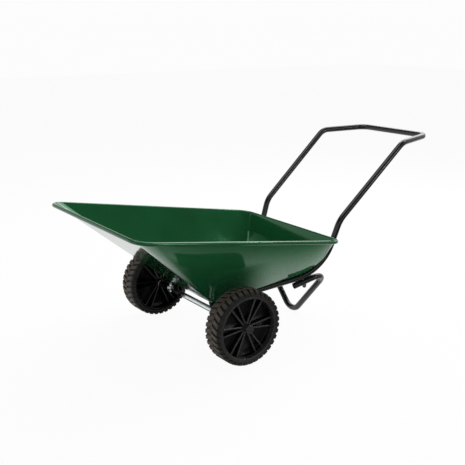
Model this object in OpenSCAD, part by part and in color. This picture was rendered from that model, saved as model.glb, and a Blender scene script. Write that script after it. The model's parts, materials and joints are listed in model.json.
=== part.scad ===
// Two-wheel wheelbarrow: pressed steel tray, one bent tube for rails and handle, through axle, V stand.
// Millimetres. X points forward over the tray lip, Y to the operator's left, Z up.
// The modules draw the barrow about the foot of the axle; in_frame() then centres it over the ground.

/* [Wheels] */
// Outside diameter of the tyres
wheel_d = 254; // [230:1:280]
// Width of a tyre
tyre_w = 76; // [66:1:84]
// Distance between the middle planes of the two wheels
track = 576; // [560:1:620]
// Diameter of the wheel rim that the tyre sits on
rim_d = 214; // [190:1:224]
// Radius of the tyre shoulders
shoulder_r = 12; // [8:1:14]
// Tread blocks in each row around a tyre
tread_count = 36; // [24:1:44]
// Depth of the tread grooves
tread_depth = 4; // [2:0.5:6]
// Width of the grooves between two tread blocks
tread_gap = 7; // [4:0.5:8]
// Pairs of ribs on each face of a wheel
rib_pairs = 6; // [4:1:8]
// Thickness of a rib
rib_t = 3; // [2:0.5:5]
// Thickness of the web between hub and rim
web_t = 4; // [3:0.5:8]
// Outside diameter of the hub
hub_d = 30; // [28:0.5:36]

/* [Axle] */
// Diameter of the bar between the two rails
bar_d = 20; // [17:0.5:24]
// Diameter of the turned ends that the wheels run on
journal_d = 16; // [12:0.5:16]
// Width of the hanger sleeve on the axle
hanger_w = 26; // [18:1:34]
// Thickness of the hanger plate beside the rail
hanger_t = 4; // [3:0.5:6]
// Share of the axle between hanger and wheel that the spacer fills
spacer_share = 0.61; // [0.4:0.01:0.8]

/* [Tray] */
// Distance from the axle forward to the front rim
lip_x = 390; // [340:1:430]
// Distance from the axle back to the rear rim
rear_x = 426; // [415:1:430]
// Width across the rim at the front
lip_w = 658; // [600:1:700]
// Width across the rim at the rear
rear_w = 572; // [540:1:620]
// Height of the front rim above the axle
lip_h = 348; // [310:1:390]
// Height of the rear rim above the axle
rear_h = 213; // [200:1:235]
// Distance from the axle forward to the fold between floor and front panel
fold_x = 10; // [0:1:30]
// Width of the floor at that fold
fold_w = 254; // [230:1:290]
// Slope of the rear panel
rear_slope = 72; // [70:0.5:74]
// Radius of the pressed edges round the floor
press_r = 14; // [10:0.5:16]
// Radius of the rim corners seen from above
corner_r = 50; // [40:1:65]
// Radius of the rolled rim
bead_r = 6.5; // [5:0.5:8]
// Thickness of the tray sheet
sheet_t = 1.2; // [0.8:0.1:2]

/* [Frame tube] */
// Outside diameter of the frame tube
tube_d = 22; // [19:0.5:26]
// Wall of the frame tube and of the stand tube
tube_wall = 1.5; // [1:0.1:2.5]
// Distance between the two rails over the axle
rail_w = 201; // [186:1:206]
// Distance that each rail lies inside the side of the rear rim, at the bend behind the tray
rail_inset = 87.9; // [83:0.1:97]
// Angle at which the rails rise to the rear
rail_pitch = 9.1; // [8:0.1:10]
// Length of rail in front of the axle
rail_nose = 5; // [4:1:14]
// Distance from the axle back to the bend behind the tray
rail_back = 413; // [410:1:425]
// Centre line radius of that bend
rail_bend_r = 180; // [165:1:190]
// Distance from the axle back to the lower handle bend
lower_bend_x = 479; // [470:1:490]
// Height of the lower handle bend above the axle
lower_bend_h = 270; // [262:1:290]
// Distance from the axle back to the upper handle bend
upper_bend_x = 771; // [700:1:850]
// Height of the upper handle bend above the axle
upper_bend_h = 525; // [460:1:580]
// Width across the tube centres at the upper bends
upper_bend_w = 445; // [400:1:500]
// Distance from the axle back to the cross bar
cross_x = 952; // [900:1:1020]
// Height of the cross bar above the axle
cross_h = 531; // [480:1:590]
// Length of the cross bar between its corner points
cross_w = 338; // [290:1:390]

/* [Stand] */
// Outside diameter of the stand tube
stand_d = 22; // [19:0.5:25]
// Turn of the rail bend at which the stand is bolted on
stand_turn = 8; // [6:0.5:9]
// Length of the stand tube in front of its bolt
stand_fore = 40; // [30:1:50]
// Distance from that bolt back to the upper corner of the leg
stand_aft = 104; // [90:1:115]
// Distance from the axle back to the foot
foot_x = 440; // [420:1:470]
// Centre line radius of the foot
foot_r = 50; // [40:1:60]
// Centre line radius of the upper corners of the leg
leg_corner_r = 48; // [40:1:54]

/* [Fasteners] */
// Thread diameter of the bolts
bolt_d = 8; // [6:0.5:8.5]
// Width across the flats of nuts and bolt heads
nut_af = 13; // [11:1:15]
// Thickness of a nut
nut_h = 6.5; // [5:0.5:8]
// Diameter of a bolt washer
washer_d = 17; // [14:1:20]
// Thickness of a washer
washer_t = 1.6; // [1:0.1:2.5]

/* [Hidden] */

$fn = 48;
// Steps round a pressed edge, round the rolled rim, along a rim corner and along the bend of the tray
press_steps = 3;
bead_steps = 10;
rim_steps = 6;
bend_steps = 12;
// Steps round a tyre shoulder
shoulder_steps = 8;
// Overrun of every cut
over = 1;
// Gap between pieces that are bolted face to face
seat_gap = 0.1;
// Radial clearance of a wheel on its journal
running_gap = 0.05;
// Radial clearance between pieces that are pushed together
push_gap = 0.04;
// Radial clearance of a bolt in its hole
bolt_gap = 0.25;
// A bent tube is a hair thinner in its bends, and its straight runs reach a little way into them
bend_thin = 0.05;
bend_lap = 0.5;

function unit(v) = v / norm(v);
function flip(p) = [p[0], -p[1], p[2]];
function arc_dist(turn, r) = r * tan(turn / 2);

// Heights and the rail line
axle_z = wheel_d / 2;
tube_r = tube_d / 2;
stand_r = stand_d / 2;
rail_splay = atan((rear_w / 2 - rail_inset - rail_w / 2) / rail_back);
rail_z0 = axle_z + (bar_d / 2 + tube_r + seat_gap) / cos(rail_pitch);
function rail_y(x) = rail_w / 2 - x * tan(rail_splay);
function rail_z(x) = rail_z0 - x * tan(rail_pitch);
function rail_at(x) = [x, rail_y(x), rail_z(x)];

// Corner points of the frame tube on the left side
nose_p = rail_at(rail_nose);
back_p = rail_at(-rail_back);
lower_p = [-lower_bend_x, rail_y(-lower_bend_x), axle_z + lower_bend_h];
upper_p = [-upper_bend_x, upper_bend_w / 2, axle_z + upper_bend_h];
cross_p = [-cross_x, cross_w / 2, axle_z + cross_h];
lower_bend_r = 90;
upper_bend_r = 60;
cross_corner_r = 42;

// The rail bend: direction into it, side to which it turns, centre
rail_u = unit(back_p - nose_p);
rail_v = unit(lower_p - back_p);
rail_n = unit(rail_v - rail_u * (rail_u * rail_v));
rail_turn = acos(rail_u * rail_v);
rail_c = back_p - rail_u * arc_dist(rail_turn, rail_bend_r) + rail_n * rail_bend_r;
function bend_in(a) = rail_n * cos(a) - rail_u * sin(a);
function bend_p(a) = rail_c - bend_in(a) * rail_bend_r;
function bend_t(a) = rail_u * cos(a) + rail_n * sin(a);

// The stand: under the rail at its bolt, then down and in to the foot
stand_p = bend_p(stand_turn) - bend_in(stand_turn) * (tube_r + stand_r + seat_gap);
stand_open = stand_p - bend_t(stand_turn) * stand_fore;
stand_top = stand_p + bend_t(stand_turn) * stand_aft;
foot_p = [-foot_x, 0, stand_r];
leg_axis = [stand_top[0], 0, stand_top[2]] - foot_p;
leg_h = norm(leg_axis);
leg_lean = atan2(leg_h - foot_r, stand_top[1])
    + asin(foot_r / norm([leg_h - foot_r, stand_top[1]]));

// Tray: rim plane, floor line and side plane
lip_p = [lip_x, lip_w / 2, axle_z + lip_h];
rear_p = [-rear_x, rear_w / 2, axle_z + rear_h];
rim_l = norm([lip_x + rear_x, lip_h - rear_h]);
rim_pitch = atan2(lip_h - rear_h, lip_x + rear_x);
rim_taper = atan2((lip_w - rear_w) / 2, rim_l);
floor_z0 = rail_z0 + (tube_r + seat_gap) / cos(rail_pitch);
function floor_z(x) = floor_z0 - x * tan(rail_pitch);
fold_p = [fold_x, fold_w / 2, floor_z(fold_x)];
side_n = cross(rear_p - lip_p, fold_p - lip_p);
side_stretch = norm(side_n) / abs(side_n[1]);
function side_y(x, z) = lip_p[1] - (side_n[0] * (x - lip_p[0]) + side_n[2] * (z - lip_p[2])) / side_n[1];

// Corner of floor and rear panel in side view
rear_foot_x = -rear_x + (bead_r - sheet_t) / sin(rear_slope) + rear_h / tan(rear_slope);
rear_foot_rise = floor_z0 - axle_z;
turn_x = (rear_foot_x - rear_foot_rise / tan(rear_slope)) / (1 - tan(rail_pitch) / tan(rear_slope));
tray_turn = rear_slope - rail_pitch;
// The bend of the tray starts just behind the start of the rail bend, so the sheet lies along the rail
tray_lag = 3;
bend_start_x = bend_p(0)[0] + bend_in(0)[0] * tube_r;
tray_bend_r = ((bend_start_x - turn_x) / cos(rail_pitch) - tray_lag) / tan(tray_turn / 2);
tray_c = [turn_x + arc_dist(tray_turn, tray_bend_r) * cos(rail_pitch) + tray_bend_r * sin(rail_pitch),
    floor_z(turn_x) - arc_dist(tray_turn, tray_bend_r) * sin(rail_pitch) + tray_bend_r * cos(rail_pitch)];
// Middle of the pressed edge round the floor, in side view, and the slope of the floor there
rear_crease = 6;
bend_slopes = [for (i = [0 : bend_steps]) rail_pitch + (tray_turn - rear_crease) * i / bend_steps];
floor_slopes = concat([rail_pitch], bend_slopes);
fold_turn = atan2(axle_z + lip_h - fold_p[2], lip_x - fold_x) + rail_pitch;
fold_c = [fold_x - press_r * tan(fold_turn / 2) * cos(rail_pitch) + press_r * sin(rail_pitch),
    fold_p[2] + press_r * tan(fold_turn / 2) * sin(rail_pitch) + press_r * cos(rail_pitch)];
press_line = concat([fold_c], [for (a = bend_slopes) tray_c - (tray_bend_r - press_r) * [sin(a), cos(a)]]);

// Corner centres of the rim, seen square to its plane, with x = 0 at the rear rim
rim_drop = corner_r / cos(rim_taper);
rim_back_c = [corner_r, rear_w / 2 + corner_r * tan(rim_taper) - rim_drop];
rim_front_c = [rim_l - corner_r, lip_w / 2 - corner_r * tan(rim_taper) - rim_drop];
rim_turn = 90 + rim_taper;
rim_o = [-rear_x, 0, axle_z + rear_h];
rim_x = [cos(rim_pitch), 0, sin(rim_pitch)];
rim_up = [-sin(rim_pitch), 0, cos(rim_pitch)];
function rim_out(a) = rim_x * cos(a) + [0, sin(a), 0];
function rim_at(c, a) = rim_o + rim_x * c[0] + [0, c[1], 0] + rim_out(a) * corner_r;
// Share of the side, from the front corner, at which the bend of the tray starts
bend_share = 0.75;
// How far the sheet is rolled round at the rim
curl_sweep = 280;

// Wheel, from its middle plane outwards
wheel_r = wheel_d / 2;
rim_r = rim_d / 2;
rim_wall = 6;
rim_recess = 2;
rim_half = tyre_w / 2 - rim_recess;
rib_recess = 6;
rib_half = rim_half - rib_recess;
hub_r = hub_d / 2;
hub_proud = 2;
hub_in = tyre_w / 2 + hub_proud;
hub_out = 22;
spigot_l = 8;
cap_wall = 2;
spigot_r = hub_r - cap_wall;
spigot_wall = 2;
bush_r = spigot_r - spigot_wall;
bush_l = 20;
bush_flange_t = 2;
bush_flange_r = spigot_r - spigot_wall / 2;
rib_spread = 7;
rib_foot = 4;
ridge_half = 2;
ridge_groove = 2.5;
tread_slant = 22;
hub_end = hub_out + spigot_l + bush_flange_t;
hub_start = hub_in + bush_flange_t;

// Axle, from the middle outwards
rail_half = tube_r / cos(rail_splay);
hanger_wall = 3.5;
hanger_r = journal_d / 2 + hanger_wall;
hanger_y = rail_w / 2 + rail_half + seat_gap;
bar_half = hanger_y - hanger_r * tan(rail_splay) - seat_gap;
hanger_bolt_x = 24;
hanger_half = tube_r - over;
hanger_waist = 0.5;
axle_washer_t = 2;
washer_lip = 6;
inner_washer_r = journal_d / 2 + washer_lip;
outer_washer_r = bush_flange_r;
ring_t = 1.6;
spacer_wall = 4;
spacer_r = journal_d / 2 + spacer_wall;
axle_end_gap = 2;
wheel_y = track / 2;
spacer_end = wheel_y - hub_start - seat_gap;
spacer_l = (spacer_end - hanger_y - hanger_w) * spacer_share;
spacer_y = spacer_end - spacer_l;
pin_d = 4;
pin_reach = inner_washer_r;
pin_y = spacer_y - seat_gap - axle_washer_t - seat_gap - pin_d / 2;
out_washer_y = wheel_y + hub_end + seat_gap;
ring_y = out_washer_y + axle_washer_t + seat_gap;
axle_half = ring_y + ring_t + axle_end_gap;
cap_in = axle_half + axle_end_gap - wheel_y;

// Fasteners
bolt_r = bolt_d / 2;
bolt_hole_r = bolt_r + bolt_gap;
head_share = 0.875;
head_r = bolt_d * head_share;
head_h = bolt_d / 2;
bolt_tail = 3;
tray_bolt_x = 52;

// Where the barrow lies in its own frame: middle of its length over the ground
mid_x = (lip_x + bead_r - cross_x - tube_r) / 2;

module in_frame() {
    translate([-mid_x, 0, 0]) children();
}

module both_sides() {
    children();
    mirror([0, 1, 0]) children();
}

// A unit vector square to z
function cross_axis(z) = unit(cross(abs(z[1]) < abs(z[0]) + abs(z[2]) ? [0, 1, 0] : [1, 0, 0], z));

// Puts the local Z axis along d at point p
module along(p, d) {
    z = unit(d);
    x = cross_axis(z);
    y = cross(z, x);
    multmatrix([[x[0], y[0], z[0], p[0]], [x[1], y[1], z[1], p[1]], [x[2], y[2], z[2], p[2]], [0, 0, 0, 1]])
        children();
}

// Puts the local Z axis along the axle, pointing out to the left, at distance y from the middle
module on_axle(y) {
    translate([0, y, axle_z]) rotate([-90, 0, 0]) children();
}

module tube_section(od, wall) {
    difference() {
        circle(d = od);
        circle(d = od - 2 * wall);
    }
}

// Signed angle from a to b about the axis z
function angle_about(a, b, z) = atan2(cross(a, b) * z, a * b);
function thousandth(x) = round(x * 1000) / 1000;

// Direction of each run of a tube through the corner points p, and the side to which each corner turns
function run_dirs(p) = [for (i = [0 : len(p) - 2]) unit(p[i + 1] - p[i])];
function turn_sides(u) = [for (i = [0 : len(u) - 2]) unit(u[i + 1] - u[i] * (u[i] * u[i + 1]))];
function turn_angles(u) = [for (i = [0 : len(u) - 2]) thousandth(acos(u[i] * u[i + 1]))];

// Draws run i of a tube up the local Z axis, its bend towards local X, and then the rest of the tube
module tube_walk(runs, rolls, turns, r, od, wall, i) {
    before = i == 0 ? 0 : bend_lap;
    after = i == len(turns) ? 0 : bend_lap;
    translate([0, 0, -before]) linear_extrude(before + runs[i] + after) tube_section(od, wall);
    if (i < len(turns))
        translate([0, 0, runs[i]]) rotate(rolls[i]) translate([r[i], 0, 0]) {
            multmatrix([[-1, 0, 0, 0], [0, 0, 1, 0], [0, 1, 0, 0], [0, 0, 0, 1]])
                rotate_extrude(angle = turns[i]) translate([r[i], 0])
                    tube_section(od - 2 * bend_thin, wall - 2 * bend_thin);
            rotate([0, turns[i], 0]) translate([-r[i], 0, 0])
                tube_walk(runs, rolls, turns, r, od, wall, i + 1);
        }
}

// A tube through the corner points p, bent with the centre line radius r[i] at inner corner i
module bent_tube(p, r, od, wall) {
    u = run_dirs(p);
    n = turn_sides(u);
    turns = turn_angles(u);
    last = len(turns) - 1;
    cuts = concat([0], [for (i = [0 : last]) arc_dist(turns[i], r[i])], [0]);
    runs = [for (i = [0 : last + 1]) thousandth(norm(p[i + 1] - p[i]) - cuts[i] - cuts[i + 1])];
    facing = concat([cross_axis(u[0])], [for (i = [0 : last]) n[i] * cos(turns[i]) - u[i] * sin(turns[i])]);
    rolls = [for (i = [0 : last]) angle_about(facing[i], n[i], u[i])];
    along(p[0], u[0]) tube_walk(runs, rolls, turns, r, od, wall, 0);
}

// A straight cut of radius r along d, reaching l to both sides of p
module drill(p, d, r, l) {
    along(p - unit(d) * l, d) cylinder(r = r, h = 2 * l);
}

// Tilt of the wall that touches a pressed edge with its middle at c and the roll of the rim at r
wall_reach = press_r + bead_r - sheet_t;
function wall_tilt(r, o, c) =
    let (d = r - c, out = d * o, up = d * rim_up)
    acos(wall_reach / norm([out, up])) - atan2(up, out);
function wall_normal(r, o, c) = let (g = wall_tilt(r, o, c)) o * cos(g) - rim_up * sin(g);

// Middles of the pressed edge in space: the sides are flat, so all lie in one plane
side_rim = rim_at(rim_front_c, rim_turn);
fold_y = side_y(fold_c[0], fold_c[1]) - press_r * side_stretch;
side_w = wall_normal(side_rim, rim_out(rim_turn), [fold_c[0], fold_y, fold_c[1]]);
function press_y(q) = (side_w * side_rim - wall_reach - side_w[0] * q[0] - side_w[2] * q[1]) / side_w[1];
press_c = [for (q = press_line) [q[0], press_y(q), q[1]]];
floor_down = [for (a = floor_slopes) [-sin(a), 0, -cos(a)]];

// Columns of the tray on the left side, from the front round to the rear: rim point, outward, edge number
rear_edge = len(press_c) - 1;
side_end = rim_at(rim_back_c, rim_turn);
function side_share(i) = bend_share + (1 - bend_share) * (i - 1) / (rear_edge - 1);
columns = concat(
    [for (i = [0 : rim_steps]) let (a = rim_turn * i / rim_steps) [rim_at(rim_front_c, a), rim_out(a), 0]],
    [for (i = [1 : rear_edge]) [side_rim + (side_end - side_rim) * side_share(i), rim_out(rim_turn), i]],
    [for (i = [1 : rim_steps]) let (a = rim_turn + (180 - rim_turn) * i / rim_steps)
        [rim_at(rim_back_c, a), rim_out(a), rear_edge]]);

// Part of the way t from direction a to direction b
function between(a, b, t) = let (turn = acos(a * b))
    (a * sin(turn * (1 - t)) + b * sin(turn * t)) / sin(turn);
function press_arc(c, f, w, r) = [for (k = [1 : press_steps]) c + r * between(f, w, k / press_steps)];
function roll_arc(r, o, tilt, radius) = [for (k = [0 : bead_steps])
    let (a = 180 - tilt - curl_sweep * k / bead_steps) r + radius * (o * cos(a) + rim_up * sin(a))];
function reversed(v) = [for (i = [len(v) - 1 : -1 : 0]) v[i]];

// Points up the inside of a column, round the rolled rim and down its outside
function column_points(q) =
    let (c = press_c[q[2]], f = floor_down[q[2]],
        w = wall_normal(q[0], q[1], c), g = wall_tilt(q[0], q[1], c))
    concat(press_arc(c, f, w, press_r - sheet_t), roll_arc(q[0], q[1], g, bead_r),
        reversed(roll_arc(q[0], q[1], g, bead_r - sheet_t)), reversed(press_arc(c, f, w, press_r)));

// The sheet is one piece: floor and bend between the pressed edges, walls, and a rim rolled outwards
module tray_sheet() {
    left = [for (q = columns) column_points(q)];
    right = reversed([for (v = left) [for (p = v) flip(p)]]);
    walls = concat(left, right);
    edges = concat([for (q = columns) q[2]], reversed([for (q = columns) q[2] + len(press_c)]));
    rows = len(walls[0]);
    count = len(walls);
    // Points of the floor edges: inside left, inside right, outside left, outside right
    inside = [for (i = [0 : rear_edge]) press_c[i] + (press_r - sheet_t) * floor_down[i]];
    outside = [for (i = [0 : rear_edge]) press_c[i] + press_r * floor_down[i]];
    floor_points = concat(inside, [for (p = inside) flip(p)], outside, [for (p = outside) flip(p)]);
    first = len(floor_points);
    half = 2 * len(press_c);
    wall_points = [for (v = walls) for (p = v) p];
    wall_faces = [for (j = [0 : count - 1], r = [0 : rows - 2])
        let (a = first + j * rows + r, b = first + (j + 1) % count * rows + r)
        [a, a + 1, b + 1, b]];
    foot_faces = [for (j = [0 : count - 1])
        let (a = first + j * rows, b = first + (j + 1) % count * rows,
            e = edges[j], f = edges[(j + 1) % count])
        e == f ? [e, a, b] : [e, a, b, f]];
    sole_faces = [for (j = [0 : count - 1])
        let (a = first + j * rows + rows - 1, b = first + (j + 1) % count * rows + rows - 1,
            e = half + edges[j], f = half + edges[(j + 1) % count])
        e == f ? [a, e, b] : [a, e, f, b]];
    n = len(press_c);
    floor_faces = [for (i = [0 : rear_edge - 1]) [i, i + 1, i + 1 + n, i + n]];
    under_faces = [for (f = floor_faces) reversed([for (i = f) i + half])];
    polyhedron(concat(floor_points, wall_points),
        concat(wall_faces, foot_faces, sole_faces, floor_faces, under_faces));
}

module tray() {
    color("darkgreen") difference() {
        tray_sheet();
        both_sides() {
            drill(tray_seat(0), rail_up, bolt_hole_r, tube_d);
            drill(stand_seat(0), bend_in(stand_turn), bolt_hole_r, tube_d);
        }
    }
}

// Bolt places. Each is given on the rail's centre line and measured along its bolt, upwards
rail_up = [sin(rail_pitch), 0, cos(rail_pitch)];
function tray_seat(h) = rail_at(-tray_bolt_x) + rail_up * h;
function stand_seat(h) = bend_p(stand_turn) + bend_in(stand_turn) * h;
hanger_out = [sin(rail_splay), cos(rail_splay), 0];
function hanger_seat(h) = rail_at(-hanger_bolt_x) + hanger_out * h;

// The points p on the left, then the same points on the right in reverse order
function there_and_back(p) = concat(p, [for (i = [len(p) - 1 : -1 : 0]) flip(p[i])]);

// One tube: left rail, left handle, cross bar, right handle, right rail
module frame_tube() {
    color("black") difference() {
        bent_tube(there_and_back([nose_p, back_p, lower_p, upper_p, cross_p]),
            [rail_bend_r, lower_bend_r, upper_bend_r, cross_corner_r,
             cross_corner_r, upper_bend_r, lower_bend_r, rail_bend_r], tube_d, tube_wall);
        both_sides() {
            drill(tray_seat(0), rail_up, bolt_hole_r, tube_d);
            drill(stand_seat(0), bend_in(stand_turn), bolt_hole_r, tube_d);
            drill(hanger_seat(0), hanger_out, bolt_hole_r, tube_d);
        }
    }
}

// One tube: left seat under the rail, left leg, foot, right leg, right seat
module stand() {
    foot_low = foot_p - unit(leg_axis) * foot_r * (1 / cos(leg_lean) - 1);
    color("black") difference() {
        bent_tube([stand_open, stand_top, foot_low, flip(stand_top), flip(stand_open)],
            [leg_corner_r, foot_r, leg_corner_r], stand_d, tube_wall);
        both_sides() drill(stand_p, bend_in(stand_turn), bolt_hole_r, stand_d);
    }
}

module axle() {
    color("silver") difference() {
        union() {
            on_axle(-bar_half) cylinder(d = bar_d, h = 2 * bar_half);
            on_axle(-axle_half) cylinder(d = journal_d, h = 2 * axle_half);
        }
        both_sides() drill([0, pin_y, axle_z], [0, 0, 1], pin_d / 2 + push_gap, journal_d);
    }
}

// A plate beside the rail with a sleeve round the axle
module axle_hanger() {
    color("black") difference() {
        union() {
            on_axle(hanger_y) cylinder(r = hanger_r, h = hanger_w);
            along(hanger_seat(tube_r + seat_gap), hanger_out) linear_extrude(hanger_t) hanger_outline();
        }
        on_axle(0) cylinder(d = journal_d + 2 * push_gap, h = track);
        drill(hanger_seat(0), hanger_out, bolt_hole_r, track);
    }
}

// Seen from outside, with the bolt at the origin and up along X: a lug that slants down forward to the axle
module hanger_outline() {
    up = axle_z - rail_z(-hanger_bolt_x);
    fore = (hanger_bolt_x - (tube_r + seat_gap) * sin(rail_splay)) / cos(rail_splay);
    waist = hanger_half - hanger_waist;
    union() {
        rotate(atan2(fore, up)) translate([0, -waist]) square([norm([up, fore]), 2 * waist]);
        circle(r = hanger_half);
        translate([up, fore]) circle(r = hanger_half);
    }
}

module left_axle_hanger() axle_hanger();
module right_axle_hanger() mirror([0, 1, 0]) axle_hanger();

module hex_nut(h) {
    difference() {
        cylinder(d = nut_af / cos(30), h = h, $fn = 6);
        translate([0, 0, -over]) cylinder(r = bolt_r + push_gap, h = h + 2 * over);
    }
}

module flat_washer(r, bore_r, t) {
    difference() {
        cylinder(r = r, h = t);
        translate([0, 0, -over]) cylinder(r = bore_r, h = t + 2 * over);
    }
}

module hanger_bolts() {
    seat = tube_r + seat_gap + hanger_t + seat_gap;
    grip = seat + tube_r + seat_gap + nut_h + bolt_tail;
    color("black") both_sides()
        along(hanger_seat(seat), hanger_out) {
            cylinder(d = nut_af / cos(30), h = head_h, $fn = 6);
            translate([0, 0, -grip]) cylinder(r = bolt_r, h = grip + head_h / 2);
        }
}

module hanger_nuts() {
    color("black") both_sides()
        along(hanger_seat(-tube_r - seat_gap), -hanger_out) hex_nut(nut_h);
}

module wheel_spacer() {
    color("dimgray") on_axle(spacer_y) flat_washer(spacer_r, journal_d / 2 + push_gap, spacer_l);
}

module left_wheel_spacer() wheel_spacer();
module right_wheel_spacer() mirror([0, 1, 0]) wheel_spacer();

module axle_washers() {
    bore_r = journal_d / 2 + push_gap;
    color("silver") both_sides() {
        on_axle(spacer_y - seat_gap - axle_washer_t) flat_washer(inner_washer_r, bore_r, axle_washer_t);
        on_axle(out_washer_y) flat_washer(outer_washer_r, bore_r, axle_washer_t);
    }
}

// Split pin: a straight shank through the axle with an eye on top
module split_pins() {
    eye_r = pin_d;
    wire_r = pin_d / 4;
    color("silver") both_sides() translate([0, pin_y, axle_z]) {
        translate([0, 0, -pin_reach]) cylinder(d = pin_d, h = 2 * pin_reach);
        translate([0, 0, pin_reach + eye_r - wire_r]) rotate([90, 0, 0])
            rotate_extrude() translate([eye_r - wire_r, 0]) circle(r = wire_r);
    }
}

module retaining_rings() {
    color("silver") both_sides()
        on_axle(ring_y) flat_washer(outer_washer_r - axle_end_gap, journal_d / 2 + push_gap, ring_t);
}

// Half section of the moulded wheel: hub, web and rim in one outline
module wheel_section() {
    rim_in = rim_r - rim_wall;
    half_web = web_t / 2;
    polygon([
        [bush_r, -hub_in], [hub_r, -hub_in], [hub_r, -half_web], [rim_in, -half_web], [rim_in, -rim_half],
        [rim_r, -rim_half], [rim_r, rim_half], [rim_in, rim_half], [rim_in, half_web], [hub_r, half_web],
        [hub_r, hub_out], [spigot_r, hub_out], [spigot_r, hub_out + spigot_l], [bush_r, hub_out + spigot_l]]);
}

// Ribs in pairs that open outwards from the hub to the rim
module rib_pattern() {
    rib_l = rim_r - rim_wall / 2 - hub_r;
    for (i = [0 : rib_pairs - 1], s = [-1, 1])
        rotate(i * 360 / rib_pairs) translate([hub_r - rib_t, s * rib_foot]) rotate(s * rib_spread)
            translate([0, -rib_t / 2]) square([rib_l, rib_t]);
}

module wheel() {
    color("black") on_axle(wheel_y) {
        rotate_extrude() wheel_section();
        difference() {
            translate([0, 0, -rib_half]) linear_extrude(rib_half + hub_out - over) rib_pattern();
            translate([0, 0, -hub_in]) cylinder(r = hub_r - rib_t / 2, h = hub_in + hub_out);
        }
    }
}

module left_wheel() wheel();
module right_wheel() mirror([0, 1, 0]) wheel();

// Half section of a tyre: flat crown with a ridge between two grooves, round shoulders, straight sides
module tyre_section() {
    half = tyre_w / 2;
    floor_r = wheel_r - tread_depth * 3 / 4;
    groove_out = ridge_half + ridge_groove;
    shoulder = [for (i = [0 : shoulder_steps]) let (a = 90 * i / shoulder_steps)
        [wheel_r - shoulder_r * (1 - cos(a)), half - shoulder_r * (1 - sin(a))]];
    ridge = [[wheel_r, ridge_half], [floor_r, ridge_half], [floor_r, groove_out], [wheel_r, groove_out]];
    side = concat(ridge, shoulder, [[rim_r + rim_wall, half], [rim_r + push_gap, rim_half]]);
    flipped = [for (i = [len(side) - 1 : -1 : 0]) [side[i][0], -side[i][1]]];
    polygon(concat(side, flipped));
}

// One groove between two blocks of a row, slanted, from the ridge out over the shoulder
module tread_groove() {
    l = tyre_w / 2 / cos(tread_slant);
    translate([wheel_r - tread_depth, 0, ridge_half + ridge_groove / 2]) rotate([tread_slant, 0, 0])
        translate([0, -tread_gap / 2, 0]) cube([tread_depth + over, tread_gap, l]);
}

module tyre() {
    pitch = 360 / tread_count;
    color("dimgray") on_axle(wheel_y) difference() {
        rotate_extrude() tyre_section();
        for (i = [0 : tread_count - 1]) {
            rotate(i * pitch) tread_groove();
            rotate((i + 0.5) * pitch) mirror([0, 0, 1]) tread_groove();
        }
    }
}

module left_tyre() tyre();
module right_tyre() mirror([0, 1, 0]) tyre();

// Flanged bushes pushed into both ends of the hub
module bush() {
    difference() {
        union() {
            cylinder(r = bush_flange_r, h = bush_flange_t);
            cylinder(r = bush_r - push_gap, h = bush_flange_t + bush_l);
        }
        translate([0, 0, -over])
            cylinder(d = journal_d + 2 * running_gap, h = bush_flange_t + bush_l + 2 * over);
    }
}

module hub_bushes() {
    color("ivory") {
        on_axle(wheel_y - hub_start) bush();
        on_axle(wheel_y + hub_end) mirror([0, 0, 1]) bush();
    }
}

module left_hub_bushes() hub_bushes();
module right_hub_bushes() mirror([0, 1, 0]) hub_bushes();

// Cap pushed over the spigot of the hub, covering the end of the axle
module hub_cap() {
    round_r = cap_wall;
    cap_l = cap_in + cap_wall - hub_out;
    color("black") on_axle(wheel_y + hub_out + seat_gap) difference() {
        union() {
            cylinder(r = hub_r, h = cap_l - round_r);
            translate([0, 0, cap_l - round_r]) cylinder(r1 = hub_r, r2 = hub_r - round_r, h = round_r);
        }
        translate([0, 0, -over]) cylinder(r = spigot_r + push_gap, h = cap_l - cap_wall + over);
    }
}

module left_hub_cap() hub_cap();
module right_hub_cap() mirror([0, 1, 0]) hub_cap();

// Round-headed bolt: the head stands on Z = 0, the shank goes down by l
module round_bolt(l) {
    crown_r = (head_r * head_r + head_h * head_h) / (2 * head_h);
    intersection() {
        cylinder(r = head_r, h = head_h + over);
        translate([0, 0, head_h - crown_r]) sphere(r = crown_r);
    }
    translate([0, 0, -l]) cylinder(r = bolt_r, h = l + head_h / 2);
}

// Depth of the bolt heads above the rail's centre line: on the flat floor, and on the bend of the tray,
// where the head bears on the sheet with its edge
floor_in = tube_r + seat_gap + sheet_t + seat_gap;
bend_in_r = (tray_bend_r - sheet_t) * cos((tray_turn - rear_crease) / bend_steps / 2);
function bend_hit(p, d) =
    let (q = [p[0], p[2]] - tray_c, e = [d[0], d[2]],
        b = q * e / (e * e), c = (q * q - bend_in_r * bend_in_r) / (e * e))
    -b - sqrt(b * b - c);
function stand_hit(d) = bend_hit(bend_p(stand_turn) + head_r * d, bend_in(stand_turn));
// Rise of the pressed edge under the side of the head that reaches over it
head_out = cross(bend_t(stand_turn), bend_in(stand_turn));
head_p = stand_seat(stand_hit(head_out)) + head_r * head_out;
edge_r = press_r - sheet_t;
edge_y = press_y(tray_c + (tray_bend_r - press_r) * unit([head_p[0], head_p[2]] - tray_c));
head_past = min(edge_r, max(0, head_p[1] - edge_y));
edge_rise = edge_r - sqrt(edge_r * edge_r - head_past * head_past);
stand_in = seat_gap + max(
    stand_hit(bend_t(stand_turn)), stand_hit(-bend_t(stand_turn)), stand_hit(head_out) + edge_rise);
tray_stack = floor_in + tube_r + seat_gap;
stand_stack = stand_in + tube_r + seat_gap + stand_d + seat_gap;

module tray_bolts() {
    color("silver") both_sides()
        along(tray_seat(floor_in), rail_up)
            round_bolt(tray_stack + washer_t + seat_gap + nut_h + bolt_tail);
}

module tray_washers() {
    color("silver") both_sides()
        along(tray_seat(-tube_r - seat_gap), -rail_up) flat_washer(washer_d / 2, bolt_hole_r, washer_t);
}

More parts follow.
